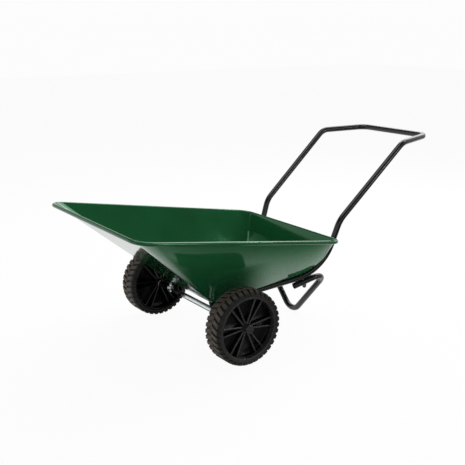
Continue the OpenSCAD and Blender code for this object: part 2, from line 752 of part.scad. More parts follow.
module tray_nuts() {
    color("silver") both_sides()
        along(tray_seat(-tube_r - 2 * seat_gap - washer_t), -rail_up) hex_nut(nut_h);
}

module stand_bolts() {
    color("silver") both_sides()
        along(stand_seat(stand_in), bend_in(stand_turn))
            round_bolt(stand_stack + washer_t + seat_gap + nut_h + bolt_tail);
}

module stand_washers() {
    color("silver") both_sides()
        along(stand_seat(-tube_r - stand_d - 2 * seat_gap), -bend_in(stand_turn))
            flat_washer(washer_d / 2, bolt_hole_r, washer_t);
}

module stand_nuts() {
    color("silver") both_sides()
        along(stand_seat(-tube_r - stand_d - 3 * seat_gap - washer_t), -bend_in(stand_turn)) hex_nut(nut_h);
}

in_frame() tray();
in_frame() frame_tube();
in_frame() stand();
in_frame() axle();
in_frame() left_axle_hanger();
in_frame() right_axle_hanger();
in_frame() hanger_bolts();
in_frame() hanger_nuts();
in_frame() left_wheel_spacer();
in_frame() right_wheel_spacer();
in_frame() axle_washers();
in_frame() split_pins();
in_frame() retaining_rings();
in_frame() left_wheel();
in_frame() right_wheel();
in_frame() left_tyre();
in_frame() right_tyre();
in_frame() left_hub_bushes();
in_frame() right_hub_bushes();
in_frame() left_hub_cap();
in_frame() right_hub_cap();
in_frame() tray_bolts();
in_frame() tray_washers();
in_frame() tray_nuts();
in_frame() stand_bolts();
in_frame() stand_washers();
in_frame() stand_nuts();
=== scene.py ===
import json
import math

import bmesh
import bpy
from mathutils import Matrix, Vector


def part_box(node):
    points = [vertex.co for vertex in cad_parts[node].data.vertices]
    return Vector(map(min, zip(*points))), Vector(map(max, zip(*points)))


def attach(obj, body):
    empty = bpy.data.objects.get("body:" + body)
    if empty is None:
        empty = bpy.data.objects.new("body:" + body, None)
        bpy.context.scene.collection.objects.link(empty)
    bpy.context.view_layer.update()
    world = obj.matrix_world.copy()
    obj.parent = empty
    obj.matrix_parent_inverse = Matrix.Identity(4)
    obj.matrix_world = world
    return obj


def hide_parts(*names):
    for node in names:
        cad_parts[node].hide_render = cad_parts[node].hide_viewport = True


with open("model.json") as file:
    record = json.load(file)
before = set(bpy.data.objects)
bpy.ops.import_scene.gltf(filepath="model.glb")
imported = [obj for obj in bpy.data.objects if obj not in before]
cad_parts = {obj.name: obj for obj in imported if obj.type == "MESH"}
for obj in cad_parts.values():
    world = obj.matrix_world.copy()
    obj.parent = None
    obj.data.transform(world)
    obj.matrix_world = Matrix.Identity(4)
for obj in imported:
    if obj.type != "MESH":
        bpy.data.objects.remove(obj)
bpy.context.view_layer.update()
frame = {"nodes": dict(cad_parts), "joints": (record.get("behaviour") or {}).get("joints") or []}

bl_info = {
    "name": "Two-wheel wheelbarrow",
    "version": (1, 0, 0),
    "blender": (4, 5, 0),
    "location": "View3D > Sidebar > Wheelbarrow",
    "description": "Builds the looks of a two-wheel wheelbarrow round its solid frame",
    "category": "Object",
}

AXLE = Vector(frame["joints"][0]["pos_m"])
AXLE_MID = Vector((AXLE.x, 0, AXLE.z))
WHEEL_Y = abs(AXLE.y)
SIDES = {"left": 1, "right": -1}

# Lines of the barrow in metres. Until a piece is put in its place, x is measured from the axle.

RAIL_W, RAIL_INSET, RAIL_PITCH = 0.201, 0.0879, math.radians(9.1)
RAIL_NOSE, RAIL_BACK, RAIL_BEND_R = 0.005, 0.413, 0.180
HANDLE_FOOT_X, HANDLE_FOOT_Z = -0.479, AXLE.z + 0.270
HANDLE_TOP = Vector((-0.771, 0.2225, AXLE.z + 0.525))
CROSS_END = Vector((-0.952, 0.169, AXLE.z + 0.531))
HANDLE_BENDS = [0.090, 0.060, 0.042]
STAND_TURN, STAND_FORE, STAND_AFT = math.radians(8), 0.040, 0.104
FOOT_X, FOOT_R, LEG_CORNER_R = 0.440, 0.050, 0.048
REAR_SLOPE, REAR_CREASE, TRAY_LAG = math.radians(72), math.radians(6), 0.003
CURL_SWEEP = math.radians(280)
# Bow of each side panel at its middle, read from what the panels mirror in the picture, and how late it fades
SIDE_CROWN, CROWN_FADE = 0.010, 4
BAR_R, BAR_HALF, BAR_EDGE = 0.010, 0.1091, 0.0008
JOURNAL_R, SPACER_EDGE = 0.008, 0.0006
# Gaps where pieces lie on each other, and between a bore and what runs through it
SEAT, FIT_GAP = 0.0001, 0.00004

# Wheels: half the web, the rim's wall and its step back from the tyre's side
WEB_HALF, RIM_WALL, RIM_BACK = 0.002, 0.006, 0.002
# The hub's outer face, how far it stands past the tyre inside, and its wall
HUB_FACE, HUB_PAST, HUB_WALL = 0.022, 0.002, 0.004
SPIGOT_STEP, SPIGOT_LONG, MOULD_EDGE = 0.002, 0.008, 0.0014
# Ribs: crown outside, step back from the rim inside, and how deep their ends sit in hub and rim
RIB_CROWN, RIB_BACK, RIB_IN_HUB, RIB_IN_RIM = 0.021, 0.006, 0.001, 0.002
RIB_FOOT, RIB_SPREAD, RIB_THICK = 0.004, math.radians(7), 0.006
CAP_WALL, CAP_EDGE = 0.002, 0.0012

# Tread blocks: start beside the middle rib, share of the pitch, slant, broken edges, roots sunk in the body
BLOCK_START, BLOCK_SHARE, BLOCK_SLANT = 0.0042, 0.62, math.radians(18)
BLOCK_EDGE, BLOCK_LEAD, BLOCK_SINK, BLOCK_FLARE = 0.0009, 0.001, 0.0010, 0.0006
BLOCK_ROWS, SHOULDER_R, SHOULDER_TURN = (0.012, 0.020), 0.012, math.radians(62)
# Outline of the tyre's body: its rib (below the tread, from the middle), shoulder, wall (below the tread,
# in from the side) and bead (out from the rim, in from the side)
MIDDLE_RIB, RIB_ROOT = ((0.0004, 0.0012), (0.0012, 0.0022)), 0.0028
BODY_ROUND, SIDEWALL = 0.008, (0.0130, 0.0030)
BEAD = ((0.0062, 0.0002), (0.0035, 0.0004), (0.0012, 0.0012), (0.0001, 0.0022))

# Stage: lamps with their place, side and power, and the camera fitted to the picture
LAMPS = (
    ("overhead_softbox", (0.5, -0.3, 3.0), 2.4, 34),
    ("side_softbox", (-1.7, 0.75, 1.95), 0.25, 4),
    ("rear_softbox", (-1.9, -0.9, 2.4), 2.6, 70),
    ("key_softbox", (-1.2, 2.3, 1.0), 0.35, 4),
)
LAMP_AIM = Vector((0.1, 0, 0.3))
FLOOR_REACH = 14.0
PHOTO_PX, FOCAL_PX, CENTRE_PX = 465, 782.28, (239.16, 240.57)
CAMERA_AT = (1.38119, 2.22997, 1.0765)
AZIMUTH, ELEVATION, ROLL = math.radians(144.86), math.radians(15.5), math.radians(-0.13)


# Plain geometry helpers

def lerp(a, b, t):
    return a + (b - a) * t


def spread(count):
    """Even shares from 0 to 1."""
    return [i / count for i in range(count + 1)]


def across(p, share):
    """A point moved to a share of its distance from the middle plane."""
    return Vector((p.x, p.y * share, p.z))


def flip(p):
    return across(p, -1)


def place(p):
    """From the axle's own x to the shared frame."""
    return Vector((p[0] + AXLE.x, p[1], p[2]))


def mesh_from(name, verts, faces, merge=1e-6, sharp=35.0):
    bm = bmesh.new()
    points = [bm.verts.new(v) for v in verts]
    for face in faces:
        bm.faces.new([points[i] for i in face])
    return finish_mesh(name, bm, merge, sharp)


def joined(name, meshes, merge=1e-6, sharp=35.0):
    bm = bmesh.new()
    for mesh in meshes:
        bm.from_mesh(mesh)
    return finish_mesh(name, bm, merge, sharp)


def finish_mesh(name, bm, merge, sharp):
    """A mesh with doubles merged and normals pointing out, smooth but for edges sharper than the angle."""
    bmesh.ops.remove_doubles(bm, verts=bm.verts, dist=merge)
    bmesh.ops.dissolve_degenerate(bm, edges=bm.edges, dist=merge)
    bmesh.ops.recalc_face_normals(bm, faces=bm.faces)
    mesh = bpy.data.meshes.new(name)
    bm.to_mesh(mesh)
    bm.free()
    mesh.polygons.foreach_set("use_smooth", [True] * len(mesh.polygons))
    mesh.set_sharp_from_angle(angle=math.radians(sharp))
    return mesh


def piece(name, mesh, material, body, nodes):
    """Puts a finished mesh into the scene on its body, in place of its solids."""
    obj = bpy.data.objects.new(name, mesh)
    mesh.materials.clear()
    mesh.materials.append(material)
    bpy.context.scene.collection.objects.link(obj)
    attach(obj, body)
    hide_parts(*nodes)
    return obj


def dress(node, material):
    """Gives a solid that stays in view its finish."""
    obj = frame["nodes"][node]
    if not obj.material_slots:
        raise RuntimeError(node + " has no material slot")
    for slot in obj.material_slots:
        slot.material = material


def lathe(profile, steps, closed=False):
    """Points and faces of an outline (radius, y) turned about the Y axis."""
    verts, faces = [], []
    rows = len(profile)
    for i in range(steps):
        turn = math.tau * i / steps
        verts += [Vector((r * math.sin(turn), y, r * math.cos(turn))) for r, y in profile]
        here, following = i * rows, (i + 1) % steps * rows
        for k in range(rows if closed else rows - 1):
            up = (k + 1) % rows
            faces.append((here + k, here + up, following + up, following + k))
    return verts, faces


def round_corners(profile, radius, steps=3, closed=True):
    """Rounds the corners of a flat outline, as far as its edges allow."""
    count, out = len(profile), []
    # Share of an edge that one corner may take
    most = 0.45
    for i in range(count):
        p = Vector(profile[i])
        if not closed and i in (0, count - 1):
            out.append(tuple(p))
            continue
        before, after = Vector(profile[i - 1]) - p, Vector(profile[(i + 1) % count]) - p
        cut = min(radius, before.length * most, after.length * most)
        start, end = p + before.normalized() * cut, p + after.normalized() * cut
        for t in spread(steps):
            out.append(tuple(lerp(lerp(start, p, t), lerp(p, end, t), t)))
    return out


def bend_at(before, corner, after, radius):
    """A tube's bend at a corner: where it starts, its heading there, the side it turns to and its angle."""
    ahead, beyond = (corner - before).normalized(), (after - corner).normalized()
    turn = ahead.angle(beyond)
    cut = radius * math.tan(turn / 2)
    side = (beyond - ahead * ahead.dot(beyond)).normalized()
    return corner - ahead * cut, ahead, side, turn


def bent_path(corners, radii, step=math.radians(4)):
    """Points along a tube through its corner points, with true arcs at the bends."""
    path = [corners[0]]
    for i, radius in enumerate(radii):
        start, ahead, side, turn = bend_at(*corners[i:i + 3], radius)
        for t in spread(max(4, int(turn / step))):
            a = turn * t
            path.append(start + ahead * radius * math.sin(a) + side * radius * (1 - math.cos(a)))
    return path + [corners[-1]]


def strips(rings, count):
    """Faces between neighbouring rings of points."""
    faces = []
    for i in range(rings - 1):
        for k in range(count):
            a, b = i * count + k, i * count + (k + 1) % count
            faces.append((a, b, b + count, a + count))
    return faces


def capped(verts, count):
    """Faces of a bar built from rings of points, closed at both ends."""
    ends = [tuple(range(count)), tuple(range(len(verts) - count, len(verts)))]
    return strips(len(verts) // count, count) + ends


def sweep(path, radius, sides):
    """A round skin along a path, with no twist."""
    verts = []
    heading = (path[1] - path[0]).normalized()
    side = heading.orthogonal().normalized()
    for i, p in enumerate(path):
        ahead = (path[min(i + 1, len(path) - 1)] - path[max(i - 1, 0)]).normalized()
        side = (heading.rotation_difference(ahead) @ side).normalized()
        heading = ahead
        up = heading.cross(side)
        for k in range(sides):
            a = math.tau * k / sides
            verts.append(p + (side * math.cos(a) + up * math.sin(a)) * radius)
    return verts, strips(len(path), sides)


def open_tube(name, path, radius, wall, sides=32):
    """A bent tube with rounded cut edges, hollow as deep as one sees into its ends."""
    edge, depth, bore = wall * 0.35, radius * 3, radius - wall
    heads = [(path[0] - path[1]).normalized(), (path[-1] - path[-2]).normalized()]
    core = [path[0] - heads[0] * edge] + path[1:-1] + [path[-1] - heads[1] * edge]
    verts, faces = sweep([place(p) for p in core], radius, sides)
    last = (len(core) - 1) * sides
    for first, tip, head in ((0, core[0], heads[0]), (last, core[-1], heads[1])):
        ring = list(range(first, first + sides))
        centre = place(tip)
        spokes = [(verts[k] - centre) / radius for k in ring]
        # Over the outer edge, across the wall, over the inner edge and down the bore
        for r, along in ((radius - edge, edge), (bore + edge, edge), (bore, 0.0), (bore, -depth)):
            row = list(range(len(verts), len(verts) + sides))
            verts += [centre + spoke * r + head * along for spoke in spokes]
            faces += [(ring[k], ring[(k + 1) % sides], row[(k + 1) % sides], row[k]) for k in range(sides)]
            ring = row
        faces.append(tuple(ring))
    return mesh_from(name, verts, faces)


# Node helpers

def linear(code):
    """An sRGB hex colour as linear values."""
    parts = [int(code[i:i + 2], 16) / 255 for i in (1, 3, 5)]
    return [c / 12.92 if c <= 0.04045 else ((c + 0.055) / 1.055) ** 2.4 for c in parts] + [1.0]


def add(tree, kind, inputs=None, **settings):
    """Adds a node with its settings and links.

    An input takes a value, an output socket, or a node, whose first output in use is linked.
    """
    node = tree.nodes.new(kind)
    for key, value in settings.items():
        setattr(node, key, value)
    for key, value in (inputs or {}).items():
        if isinstance(value, bpy.types.Node):
            value = next(socket for socket in value.outputs if socket.enabled)
        if isinstance(value, bpy.types.NodeSocket):
            tree.links.new(value, node.inputs[key])
        else:
            node.inputs[key].default_value = value
    return node


def finish(maker):
    """The material whose shader a function draws, named after that function and made once."""
    mat = bpy.data.materials.get(maker.__name__)
    if mat is None:
        mat = bpy.data.materials.new(maker.__name__)
        mat.use_nodes = True
        tree = mat.node_tree
        tree.nodes.clear()
        where = add(tree, "ShaderNodeTexCoord").outputs["Object"]
        shader = maker(tree, where, bpy.context.scene.barrow_colours)
        add(tree, "ShaderNodeOutputMaterial", {"Surface": shader})
    return mat


# Finishes. The scale of a noise is one over its size in metres.

def green_stoved_enamel(tree, where, colours):
    """Stoved gloss enamel on pressed sheet: a deep wet shine, slow press waves, faint orange peel."""
    cloud = add(tree, "ShaderNodeTexNoise", {"Vector": where, "Scale": 1 / 0.18, "Detail": 3.0})
    thick = add(tree, "ShaderNodeMapRange", {"Value": cloud, "From Min": 0.3, "From Max": 0.7})
    green = add(tree, "ShaderNodeMix", {
        "Factor": thick, "A": linear(colours.tray_dark), "B": linear(colours.tray)}, data_type="RGBA")
    press = add(tree, "ShaderNodeTexNoise", {"Vector": where, "Scale": 1 / 0.16, "Detail": 1.0})
    waves = add(tree, "ShaderNodeBump", {"Height": press, "Distance": 0.0016, "Strength": 0.35})
    # Orange peel is 1 to 2 mm across; drawn at 3 mm so that it shows at all
    peel = add(tree, "ShaderNodeTexNoise", {"Vector": where, "Scale": 1 / 0.003, "Detail": 2.0})
    skin = add(tree, "ShaderNodeBump", {
        "Height": peel, "Distance": 0.00002, "Strength": 0.04, "Normal": waves})
    haze = add(tree, "ShaderNodeTexNoise", {"Vector": where, "Scale": 1 / 0.05, "Detail": 4.0})
    dull = add(tree, "ShaderNodeMapRange", {"Value": haze, "To Min": 0.06, "To Max": 0.13})
    return add(tree, "ShaderNodeBsdfPrincipled", {
        "Base Color": green, "Roughness": dull, "Normal": skin, "IOR": 1.48,
        "Specular Tint": linear(colours.tray_shine), "Coat Weight": 0.25, "Coat Roughness": 0.04})


def black_tube_enamel(tree, where, colours):
    """Gloss black enamel on drawn tube: near black, tight highlights, light orange peel."""
    cloud = add(tree, "ShaderNodeTexNoise", {"Vector": where, "Scale": 1 / 0.06, "Detail": 3.0})
    wear_and_highlight = add(tree, "ShaderNodeMapRange", {"Value": cloud, "From Min": 0.3, "From Max": 0.75})
    black = add(tree, "ShaderNodeMix", {
        "Factor": wear_and_highlight, "A": linear(colours.tube), "B": linear(colours.tube_worn)}, data_type="RGBA")
    # Orange peel drawn at 3 mm, a little coarser than real, so that it shows
    peel = add(tree, "ShaderNodeTexNoise", {"Vector": where, "Scale": 1 / 0.003, "Detail": 2.0})
    skin = add(tree, "ShaderNodeBump", {"Height": peel, "Distance": 0.00002, "Strength": 0.04})
    haze = add(tree, "ShaderNodeTexNoise", {"Vector": where, "Scale": 1 / 0.02, "Detail": 2.0})
    dull = add(tree, "ShaderNodeMapRange", {"Value": haze, "To Min": 0.17, "To Max": 0.24})
    return add(tree, "ShaderNodeBsdfPrincipled", {
        "Base Color": black, "Roughness": dull, "Normal": skin, "IOR": 1.5})


def bright_zinc_plate(tree, where, colours):
    """Bright zinc on turned steel: clean metal with faint turning marks round the bar and a cloudy bloom."""
    cloud = add(tree, "ShaderNodeTexNoise", {"Vector": where, "Scale": 1 / 0.012, "Detail": 4.0})
    clean = add(tree, "ShaderNodeMapRange", {"Value": cloud, "From Min": 0.3, "From Max": 0.65})
    zinc = add(tree, "ShaderNodeMix", {
        "Factor": clean, "A": linear(colours.zinc_dull), "B": linear(colours.zinc)}, data_type="RGBA")
    # Turning marks lie round the axle, so they change along Y above all; 0.6 mm apart, coarser than real
    along = add(tree, "ShaderNodeMapping", {"Vector": where, "Scale": (0.02, 1.0, 0.02)})
    marks = add(tree, "ShaderNodeTexNoise", {"Vector": along, "Scale": 1 / 0.0006, "Detail": 1.0})
    skin = add(tree, "ShaderNodeBump", {"Height": marks, "Distance": 0.00002, "Strength": 0.3})
    dull = add(tree, "ShaderNodeMapRange", {"Value": cloud, "To Min": 0.08, "To Max": 0.20})
    return add(tree, "ShaderNodeBsdfPrincipled", {
        "Base Color": zinc, "Roughness": dull, "Normal": skin, "Metallic": 1.0})


def black_moulded_polypropylene(tree, where, colours):
    """Injection-moulded polypropylene: black with a soft sheen, a fine spark-eroded grain and a painted
    highlight on what stands out from the web.
    """
    cloud = add(tree, "ShaderNodeTexNoise", {"Vector": where, "Scale": 1 / 0.03, "Detail": 4.0})
    dusty = add(tree, "ShaderNodeMapRange", {"Value": cloud, "From Min": 0.3, "From Max": 0.8})
    black = add(tree, "ShaderNodeMix", {
        "Factor": dusty, "A": linear(colours.plastic), "B": linear(colours.plastic_dusty)}, data_type="RGBA")
    # What stands out from the web is painted paler, a painted highlight: the crowns of the ribs, the rim's
    # edge and the hub cap
    axes = add(tree, "ShaderNodeSeparateXYZ", {"Vector": where})
    side = add(tree, "ShaderNodeMath", {0: axes.outputs["Y"]}, operation="ABSOLUTE")
    wear_and_highlight = add(tree, "ShaderNodeMapRange", {
        "Value": side, "From Min": WHEEL_Y + 0.014, "From Max": WHEEL_Y + 0.021})
    shown = add(tree, "ShaderNodeMix", {
        "Factor": wear_and_highlight, "A": black, "B": linear(colours.plastic_painted_highlight)}, data_type="RGBA")
    # Mould grain is about 0.3 mm; drawn at 0.8 mm so that it shows
    grain = add(tree, "ShaderNodeTexNoise", {"Vector": where, "Scale": 1 / 0.0008, "Detail": 2.0})
    skin = add(tree, "ShaderNodeBump", {"Height": grain, "Distance": 0.00003, "Strength": 0.15})
    haze = add(tree, "ShaderNodeTexNoise", {"Vector": where, "Scale": 1 / 0.015, "Detail": 3.0})
    dull = add(tree, "ShaderNodeMapRange", {"Value": haze, "To Min": 0.14, "To Max": 0.24})
    return add(tree, "ShaderNodeBsdfPrincipled", {
        "Base Color": shown, "Roughness": dull, "Normal": skin, "IOR": 1.49})


def solid_tyre_rubber(tree, where, colours):
    """Moulded solid rubber: dull warm grey, brown dust on the middle rib, and painted shade near black in the
    grooves.
    """
    axes = add(tree, "ShaderNodeSeparateXYZ", {"Vector": where})
    side = add(tree, "ShaderNodeMath", {0: axes.outputs["Y"]}, operation="ABSOLUTE")
    off = add(tree, "ShaderNodeMath", {0: side, 1: WHEEL_Y}, operation="SUBTRACT")
    away = add(tree, "ShaderNodeMath", {0: off}, operation="ABSOLUTE")
    rib = add(tree, "ShaderNodeMapRange", {
        "Value": away, "From Min": 0.002, "From Max": 0.012, "To Min": 1.0, "To Max": 0.15})
    specks = add(tree, "ShaderNodeTexNoise", {
        "Vector": where, "Scale": 1 / 0.012, "Detail": 4.0, "Roughness": 0.6})
    patchy = add(tree, "ShaderNodeMapRange", {"Value": specks, "To Min": 0.35, "To Max": 1.0})
    dust = add(tree, "ShaderNodeMath", {0: rib, 1: patchy}, operation="MULTIPLY")
    cloud = add(tree, "ShaderNodeTexNoise", {"Vector": where, "Scale": 1 / 0.02, "Detail": 3.0})
    bloom = add(tree, "ShaderNodeMapRange", {"Value": cloud, "From Min": 0.3, "From Max": 0.75})
    rubber = add(tree, "ShaderNodeMix", {
        "Factor": bloom, "A": linear(colours.tyre), "B": linear(colours.tyre_light)}, data_type="RGBA")
    dusty = add(tree, "ShaderNodeMix", {
        "Factor": dust, "A": rubber, "B": linear(colours.tyre_dust)}, data_type="RGBA")
    # Painted shade: the deep grooves are painted darkest; the smooth sidewalls are darker than the block
    # tops, which alone take the dusty rubber
    from_axle = add(tree, "ShaderNodeVectorMath", {0: where, 1: AXLE}, operation="SUBTRACT")
    flat = add(tree, "ShaderNodeVectorMath", {0: from_axle, 1: (1, 0, 1)}, operation="MULTIPLY")
    radius = add(tree, "ShaderNodeVectorMath", {0: flat}, operation="LENGTH").outputs["Value"]
    deep = add(tree, "ShaderNodeMapRange", {
        "Value": radius, "From Min": AXLE.z - 0.010, "From Max": AXLE.z - 0.006})
    body = add(tree, "ShaderNodeMix", {
        "Factor": deep, "A": linear(colours.tyre_side), "B": linear(colours.tyre_groove_shade)}, data_type="RGBA")
    block_tops = add(tree, "ShaderNodeMapRange", {
        "Value": radius, "From Min": AXLE.z - 0.0035, "From Max": AXLE.z - 0.0008})
    colour = add(tree, "ShaderNodeMix", {"Factor": block_tops, "A": body, "B": dusty}, data_type="RGBA")
    grain = add(tree, "ShaderNodeTexNoise", {"Vector": where, "Scale": 1 / 0.0015, "Detail": 3.0})
    skin = add(tree, "ShaderNodeBump", {"Height": grain, "Distance": 0.0001, "Strength": 0.35})
    dull = add(tree, "ShaderNodeMapRange", {"Value": specks, "To Min": 0.55, "To Max": 0.78})
    return add(tree, "ShaderNodeBsdfPrincipled", {"Base Color": colour, "Roughness": dull, "Normal": skin})


def natural_nylon(tree, where, colours):
    """Natural nylon: ivory and slightly waxy, with faint clouding."""
    cloud = add(tree, "ShaderNodeTexNoise", {"Vector": where, "Scale": 1 / 0.01, "Detail": 3.0})
    ivory = add(tree, "ShaderNodeMix", {
        "Factor": cloud, "A": linear(colours.nylon), "B": linear(colours.nylon_light)}, data_type="RGBA")
    dull = add(tree, "ShaderNodeMapRange", {"Value": cloud, "To Min": 0.4, "To Max": 0.55})
    return add(tree, "ShaderNodeBsdfPrincipled", {"Base Color": ivory, "Roughness": dull})


def white_floor_paper(tree, where, colours):
    """Matt white paper: plain white to the camera with a faint shadow, unevenly lit in reflections."""
    shade_middle, glow_share = 0.20, 0.95
    paper = add(tree, "ShaderNodeBsdfDiffuse", {"Color": linear(colours.floor)})
    path = add(tree, "ShaderNodeLightPath")
    axes = add(tree, "ShaderNodeSeparateXYZ", {"Vector": where})
    # The light falls off on the camera's side of the barrow, which shows only in reflections
    fall = add(tree, "ShaderNodeMapRange", {
        "Value": axes.outputs["Y"], "From Min": 0.20, "From Max": 0.50, "To Min": 1.0, "To Max": 0.05},
        interpolation_type="SMOOTHSTEP")
    # The barrow's own shade on the floor under the front of the tray, for the same reflections
    ahead = add(tree, "ShaderNodeMath", {0: axes.outputs["X"], 1: shade_middle}, operation="SUBTRACT")
    away = add(tree, "ShaderNodeMath", {0: ahead}, operation="ABSOLUTE")
    past_x = add(tree, "ShaderNodeMapRange", {"Value": away, "From Min": 0.11, "From Max": 0.28},
                 interpolation_type="SMOOTHSTEP")
    side = add(tree, "ShaderNodeMath", {0: axes.outputs["Y"]}, operation="ABSOLUTE")
    past_y = add(tree, "ShaderNodeMapRange", {"Value": side, "From Min": 0.24, "From Max": 0.30},
                 interpolation_type="SMOOTHSTEP")
    clear = add(tree, "ShaderNodeMath", {0: past_x, 1: past_y}, operation="MAXIMUM")
    lit = add(tree, "ShaderNodeMath", {0: fall, 1: clear}, operation="MULTIPLY")
    white = add(tree, "ShaderNodeMath", {0: lit, 1: path.outputs["Is Camera Ray"]}, operation="MAXIMUM")
    glow = add(tree, "ShaderNodeEmission", {"Color": (1, 1, 1, 1), "Strength": white})
    seen = add(tree, "ShaderNodeMath", {
        0: path.outputs["Is Camera Ray"], 1: path.outputs["Is Glossy Ray"]}, operation="ADD", use_clamp=True)
    share = add(tree, "ShaderNodeMath", {0: seen, 1: glow_share}, operation="MULTIPLY")
    return add(tree, "ShaderNodeMixShader", {0: share, 1: paper, 2: glow})


def ring_tree():
    """Repeats a mesh round the Y axis: count, phase and finish are its inputs."""
    tree = bpy.data.node_groups.new("repeat_round_axle", "GeometryNodeTree")
    for name, kind in (("Geometry", "NodeSocketGeometry"), ("Count", "NodeSocketInt"),
                       ("Phase", "NodeSocketFloat"), ("Finish", "NodeSocketMaterial")):
        tree.interface.new_socket(name, in_out="INPUT", socket_type=kind)
    tree.interface.new_socket("Geometry", in_out="OUTPUT", socket_type="NodeSocketGeometry")
    given = add(tree, "NodeGroupInput").outputs
    points = add(tree, "GeometryNodePoints", {"Count": given["Count"]})
    index = add(tree, "GeometryNodeInputIndex")
    step = add(tree, "ShaderNodeMath", {0: math.tau, 1: given["Count"]}, operation="DIVIDE")
    turn = add(tree, "ShaderNodeMath", {0: index, 1: step, 2: given["Phase"]}, operation="MULTIPLY_ADD")
    euler = add(tree, "ShaderNodeCombineXYZ", {"Y": turn})
    rotation = add(tree, "FunctionNodeEulerToRotation", {0: euler})
    copies = add(tree, "GeometryNodeInstanceOnPoints", {
        "Points": points, "Instance": given["Geometry"], "Rotation": rotation})
    real = add(tree, "GeometryNodeRealizeInstances", {"Geometry": copies})
    dressed = add(tree, "GeometryNodeSetMaterial", {"Geometry": real, "Material": given["Finish"]})
    add(tree, "NodeGroupOutput", {"Geometry": dressed})
    return tree


def baked(obj, modifier):
    """The mesh that a modifier gives, with the modifier removed."""
    depsgraph = bpy.context.evaluated_depsgraph_get()
    mesh = bpy.data.meshes.new_from_object(obj.evaluated_get(depsgraph))
    obj.modifiers.remove(modifier)
    return mesh


def repeat_round(mesh, count, phase, material):
    """A mesh repeated round the Y axis, as a plain mesh."""
    tree = bpy.data.node_groups.get("repeat_round_axle") or ring_tree()
    obj = bpy.data.objects.new(mesh.name + "_seed", mesh)
    bpy.context.scene.collection.objects.link(obj)
    modifier = obj.modifiers.new("repeat", "NODES")
    modifier.node_group = tree
    given = {"Count": count, "Phase": phase, "Finish": material}
    for item in tree.interface.items_tree:
        if item.in_out == "INPUT" and item.name in given:
            modifier[item.identifier] = given[item.name]
    ring = baked(obj, modifier)
    bpy.data.objects.remove(obj)
    return ring


# Properties

def length(name, text, value):
    return bpy.props.FloatProperty(name=name, description=text, default=value, unit="LENGTH", precision=4)


def shade(name, text, value):
    return bpy.props.StringProperty(name=name, description=text, default=value)


class WheelbarrowSizes(bpy.types.PropertyGroup):
    """Sizes that the solids give, in metres."""
    lip_x: length("Front rim", "Distance from the axle forward to the front rim", 0.390)
    rear_x: length("Rear rim", "Distance from the axle back to the rear rim", 0.426)
    lip_w: length("Front width", "Width across the rim at the front", 0.658)
    rear_w: length("Rear width", "Width across the rim at the rear", 0.572)
    lip_z: length("Front height", "Height of the front rim", 0.475)
    rear_z: length("Rear height", "Height of the rear rim", 0.340)
    fold_x: length("Fold", "Distance from the axle forward to the front fold of the floor", 0.010)
    fold_w: length("Floor width", "Width of the floor at that fold", 0.254)
    press_r: length("Pressed edge", "Radius of the pressed edges round the floor", 0.014)
    corner_r: length("Rim corner", "Radius of the rim corners", 0.050)
    bead_r: length("Rolled rim", "Radius of the rolled rim", 0.0065)
    sheet: length("Sheet", "Thickness of the tray sheet", 0.0012)
    tube_r: length("Tube", "Radius of the frame and stand tubes", 0.011)
    tube_wall: length("Tube wall", "Wall of the tubes", 0.0015)
    wheel_r: length("Wheel", "Radius of a wheel with its tyre", AXLE.z)
    tyre_w: length("Tyre width", "Width of a tyre", 0.076)
    rim_r: length("Wheel rim", "Radius of the rim under the tyre", 0.107)
    hub_r: length("Hub", "Radius of the hub", 0.015)
    tread: length("Tread", "Depth of the tread", 0.004)
    blocks: bpy.props.IntProperty(
        name="Blocks", description="Tread blocks in each row", default=36, min=12, max=60)
    ribs: bpy.props.IntProperty(
        name="Ribs", description="Pairs of ribs on a wheel face", default=6, min=3, max=12)


class WheelbarrowColours(bpy.types.PropertyGroup):
    """Colours as sRGB hex values."""
    tray: shade("Tray", "Green enamel", "#1B5A33")
    tray_dark: shade("Tray, thin", "Green enamel where it lies thin", "#184F2D")
    tray_shine: shade("Tray shine", "Tint of the enamel's face-on shine", "#94FFBC")
    tube: shade("Tube", "Black enamel", "#0C0C0D")
    tube_worn: shade("Tube, rubbed", "Black enamel where it is rubbed", "#151516")
    zinc: shade("Zinc", "Bright plating", "#E4E8EA")
    zinc_dull: shade("Zinc, dull", "Plating with bloom", "#C2C7CB")
    plastic: shade("Plastic", "Moulded wheels", "#070707")
    plastic_dusty: shade("Plastic, dusty", "Moulded wheels with dust", "#0D0D0D")
    # Painted highlight: a paler grey on what stands out from the wheel's web
    plastic_painted_highlight: shade("Plastic, rubbed", "Moulded wheels on the crowns of the ribs", "#343434")
    tyre: shade("Tyre", "Rubber", "#47433E")
    tyre_light: shade("Tyre, light", "Rubber with bloom", "#57524B")
    tyre_side: shade("Tyre side", "Rubber on the sidewalls", "#242220")
    # Painted shade: near black for the tread's grooves
    tyre_groove_shade: shade("Tyre groove", "Rubber in the grooves", "#100F0E")
    tyre_dust: shade("Tyre dust", "Dust on the middle rib", "#6B5A45")
    nylon: shade("Nylon", "Hub bushes", "#E2DAC6")
    nylon_light: shade("Nylon, light", "Hub bushes where the nylon is clearer", "#ECE6D6")
    floor: shade("Floor", "Studio floor", "#F4F4F4")


def sizes():
    return bpy.context.scene.barrow_sizes


# Tray and tubes

def rail_at(x):
    """Middle of the left rail at a distance ahead of the axle."""
    splay = (sizes().rear_w / 2 - RAIL_INSET - RAIL_W / 2) / RAIL_BACK
    z0 = AXLE.z + (BAR_R + sizes().tube_r + SEAT) / math.cos(RAIL_PITCH)
    return Vector((x, RAIL_W / 2 - x * splay, z0 - x * math.tan(RAIL_PITCH)))


def frame_corners():
    """Corner points of the left half of the frame tube, from the nose of the rail to the cross bar."""
    foot = Vector((HANDLE_FOOT_X, rail_at(HANDLE_FOOT_X).y, HANDLE_FOOT_Z))
    return [rail_at(RAIL_NOSE), rail_at(-RAIL_BACK), foot, HANDLE_TOP, CROSS_END]


